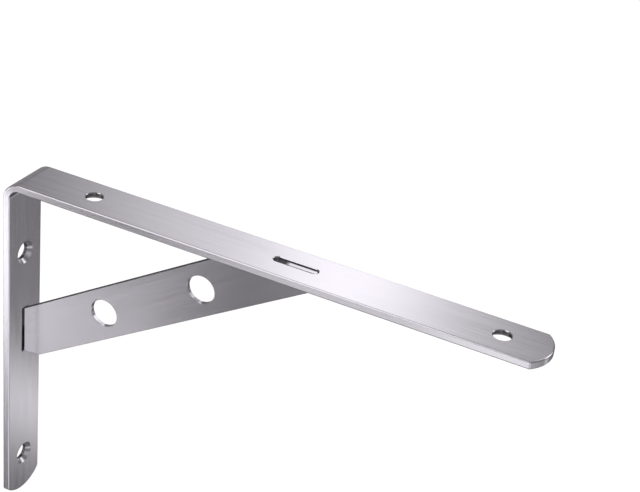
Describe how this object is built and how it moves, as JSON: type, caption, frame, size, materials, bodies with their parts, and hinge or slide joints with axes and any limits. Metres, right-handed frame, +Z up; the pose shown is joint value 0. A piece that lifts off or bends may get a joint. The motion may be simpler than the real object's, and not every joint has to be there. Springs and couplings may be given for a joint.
{
  "type": "shelf bracket",
  "caption": "Steel shelf bracket: a flat bar folded into a long arm and a leg, held square by a slotted-in diagonal brace plate with round lightening holes.",
  "frame": {"origin": "on the wall plane, midway between the two wall screw holes and in the middle of the bar's width", "axes": "+X out from the wall along the arm, +Y across the bar, +Z up towards the shelf"},
  "size_m": [0.3, 0.029, 0.2109],
  "materials": {
    "bar_steel": "satin stainless steel with a fine lengthwise grain",
    "brace_steel": "satin stainless steel, smooth cold-rolled"
  },
  "bodies": {
    "root": {"folded_bar": "bar_steel", "brace_plate": "brace_steel"}
  },
  "joints": []
}
